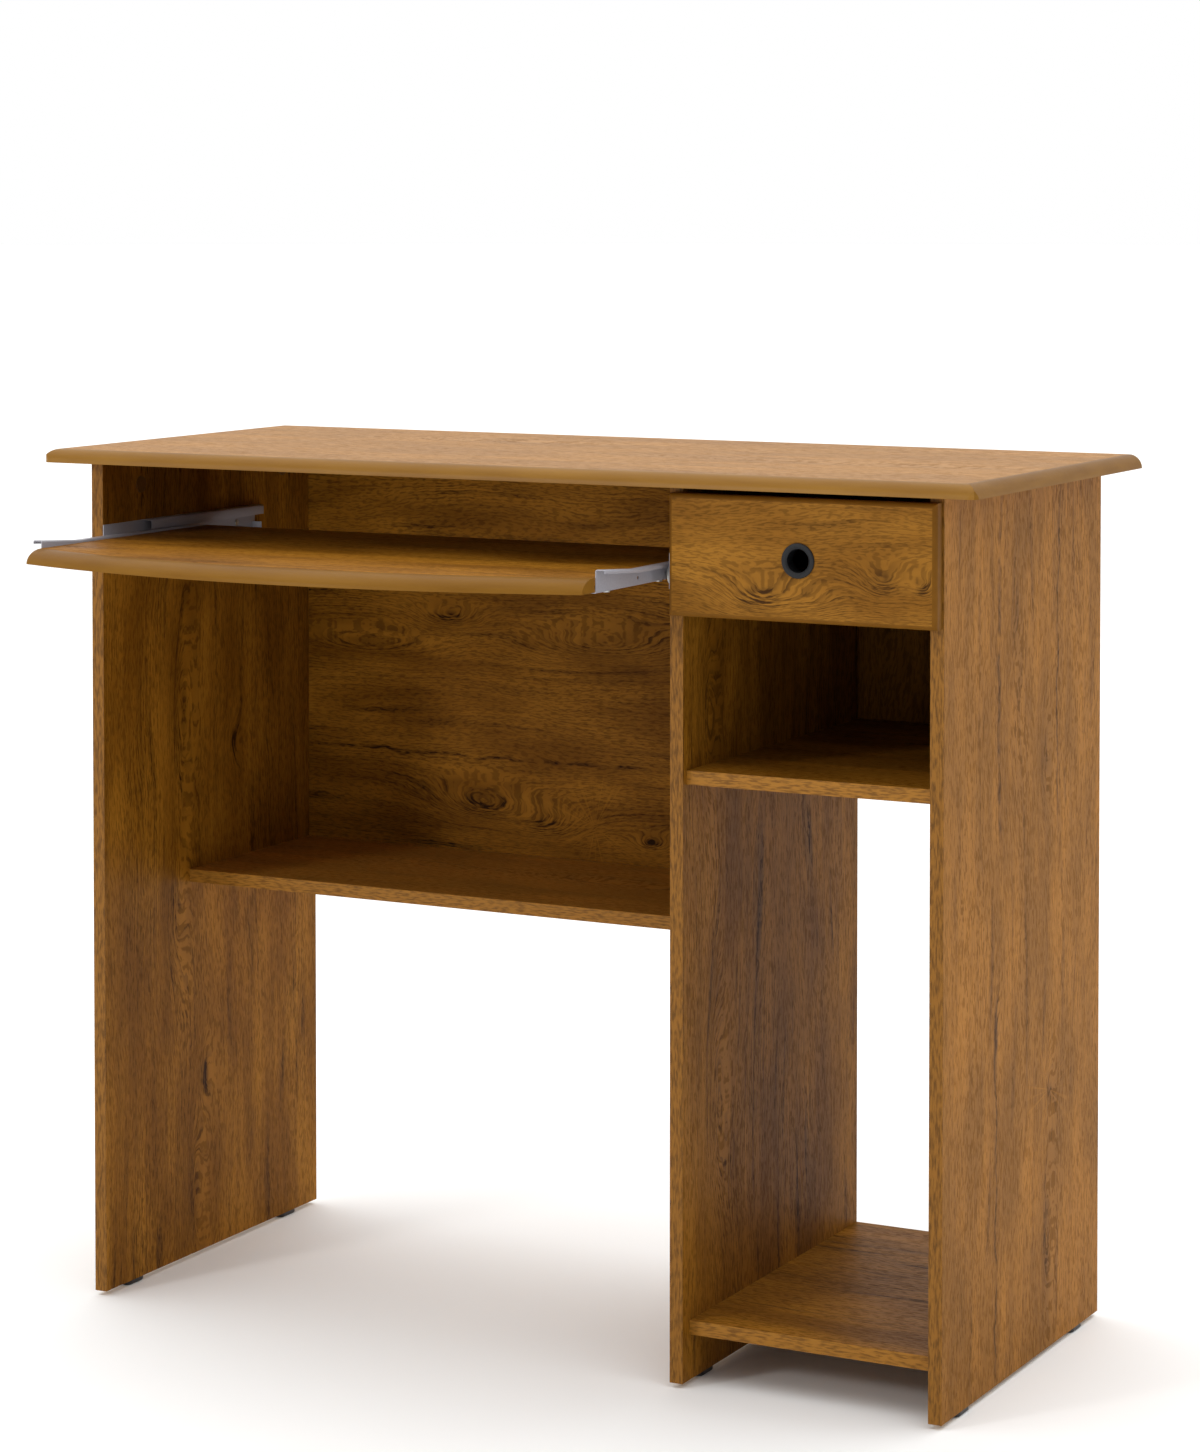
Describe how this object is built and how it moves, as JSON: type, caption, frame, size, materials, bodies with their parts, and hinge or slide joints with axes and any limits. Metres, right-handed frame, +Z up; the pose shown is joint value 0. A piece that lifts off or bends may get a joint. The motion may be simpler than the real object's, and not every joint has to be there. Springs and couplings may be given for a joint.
{
  "type": "computer desk",
  "caption": "Flat-pack computer desk with a pull-out bow-front keyboard tray, a drawer over an open niche, a bay for a tower computer and a shelf in the leg space.",
  "frame": {"origin": "on the floor under the middle of the desk's bounding box, with the tray pulled 110 mm out and the drawer shut", "axes": "+X to the right of a person sitting at the desk, along its longest side; +Y to the back; +Z up"},
  "size_m": [0.9, 0.545, 0.768],
  "materials": {
    "faced_chipboard_top": "satin wood-grain paper foil on chipboard",
    "faced_chipboard": "satin wood-grain paper foil on chipboard",
    "plain_moulding": "satin plain brown foil",
    "edge_tape": "satin printed edge tape",
    "hardboard": "printed face, plain back",
    "slide_steel": "light grey epoxy",
    "roller_nylon": "moulded",
    "fastener_steel": "zinc plated",
    "fastener_zinc": "die cast",
    "beech": "raw",
    "pull_plastic": "satin dark grey",
    "foot_plastic": "black moulded",
    "cap_plastic": "brown moulded"
  },
  "bodies": {
    "desk": {"back_nails": "fastener_steel", "bottom_shelf": "faced_chipboard", "cam_bolts": "fastener_steel", "cam_caps": "cap_plastic", "cam_locks": "fastener_zinc", "divider_panel": "faced_chipboard", "dowels": "beech", "drawer_left_rail": "slide_steel", "drawer_right_rail": "slide_steel", "feet": "foot_plastic", "foot_nails": "fastener_steel", "front_roller_axles": "fastener_steel", "left_panel": "faced_chipboard", "lower_shelf": "faced_chipboard", "modesty_panel": "faced_chipboard", "niche_back": "hardboard", "niche_shelf": "faced_chipboard", "panel_edge_tapes": "edge_tape", "rail_screws": "fastener_steel", "right_panel": "faced_chipboard", "shelf_edge_tapes": "edge_tape", "top_board": "faced_chipboard_top", "top_front_moulding": "plain_moulding", "top_left_moulding": "plain_moulding", "top_right_moulding": "plain_moulding", "tray_left_rail": "slide_steel", "tray_right_rail": "slide_steel"},
    "tray": {"tray_board": "faced_chipboard", "tray_moulding": "plain_moulding", "tray_left_runner": "slide_steel", "tray_right_runner": "slide_steel", "tray_runner_screws": "fastener_steel", "tray_roller_axles": "fastener_steel"},
    "drawer": {"drawer_front": "faced_chipboard", "drawer_left_side": "faced_chipboard", "drawer_right_side": "faced_chipboard", "drawer_back": "faced_chipboard", "drawer_bottom": "hardboard", "drawer_pull_ring": "pull_plastic", "drawer_cam_bolts": "fastener_steel", "drawer_cam_locks": "fastener_zinc", "drawer_dowels": "beech", "drawer_back_screws": "fastener_steel", "drawer_left_runner": "slide_steel", "drawer_right_runner": "slide_steel", "drawer_runner_screws": "fastener_steel", "drawer_roller_axles": "fastener_steel"},
    "tray_left_front_roller": {"tray_left_front_roller": "roller_nylon"},
    "tray_left_rear_roller": {"tray_left_rear_roller": "roller_nylon"},
    "tray_right_front_roller": {"tray_right_front_roller": "roller_nylon"},
    "tray_right_rear_roller": {"tray_right_rear_roller": "roller_nylon"},
    "drawer_left_front_roller": {"drawer_left_front_roller": "roller_nylon"},
    "drawer_left_rear_roller": {"drawer_left_rear_roller": "roller_nylon"},
    "drawer_right_front_roller": {"drawer_right_front_roller": "roller_nylon"},
    "drawer_right_rear_roller": {"drawer_right_rear_roller": "roller_nylon"}
  },
  "joints": [
    {"name": "tray_slide", "type": "slide", "parent": "desk", "child": "tray", "axis": [0, -1, 0], "range_m": [-0.11, 0.0845]},
    {"name": "drawer_slide", "type": "slide", "parent": "desk", "child": "drawer", "axis": [0, -1, 0], "range_m": [0, 0.2445]},
    {"name": "tray_left_front_roller_spin", "type": "hinge", "parent": "desk", "child": "tray_left_front_roller", "pos_m": [-0.3944, -0.0695, 0.68], "axis": [1, 0, 0], "range_deg": [-676, 519]},
    {"name": "tray_left_rear_roller_spin", "type": "hinge", "parent": "tray", "child": "tray_left_rear_roller", "pos_m": [-0.3944, 0.0345, 0.68], "axis": [1, 0, 0], "range_deg": [-676, 519]},
    {"name": "tray_right_front_roller_spin", "type": "hinge", "parent": "desk", "child": "tray_right_front_roller", "pos_m": [0.161, -0.0695, 0.68], "axis": [1, 0, 0], "range_deg": [-676, 519]},
    {"name": "tray_right_rear_roller_spin", "type": "hinge", "parent": "tray", "child": "tray_right_rear_roller", "pos_m": [0.161, 0.0345, 0.68], "axis": [1, 0, 0], "range_deg": [-676, 519]},
    {"name": "drawer_left_front_roller_spin", "type": "hinge", "parent": "desk", "child": "drawer_left_front_roller", "pos_m": [0.1872, -0.0695, 0.6637], "axis": [1, 0, 0], "range_deg": [-1, 1500]},
    {"name": "drawer_left_rear_roller_spin", "type": "hinge", "parent": "drawer", "child": "drawer_left_rear_roller", "pos_m": [0.1872, 0.1945, 0.6637], "axis": [1, 0, 0], "range_deg": [-1, 1500]},
    {"name": "drawer_right_front_roller_spin", "type": "hinge", "parent": "desk", "child": "drawer_right_front_roller", "pos_m": [0.3944, -0.0695, 0.6637], "axis": [1, 0, 0], "range_deg": [-1, 1500]},
    {"name": "drawer_right_rear_roller_spin", "type": "hinge", "parent": "drawer", "child": "drawer_right_rear_roller", "pos_m": [0.3944, 0.1945, 0.6637], "axis": [1, 0, 0], "range_deg": [-1, 1500]}
  ],
  "couplings": [
    {"joint": "tray_left_front_roller_spin", "follows": "tray_slide", "rad_per_m": 106.95},
    {"joint": "tray_left_rear_roller_spin", "follows": "tray_slide", "rad_per_m": 106.95},
    {"joint": "tray_right_front_roller_spin", "follows": "tray_slide", "rad_per_m": 106.95},
    {"joint": "tray_right_rear_roller_spin", "follows": "tray_slide", "rad_per_m": 106.95},
    {"joint": "drawer_left_front_roller_spin", "follows": "drawer_slide", "rad_per_m": 106.95},
    {"joint": "drawer_left_rear_roller_spin", "follows": "drawer_slide", "rad_per_m": 106.95},
    {"joint": "drawer_right_front_roller_spin", "follows": "drawer_slide", "rad_per_m": 106.95},
    {"joint": "drawer_right_rear_roller_spin", "follows": "drawer_slide", "rad_per_m": 106.95}
  ]
}
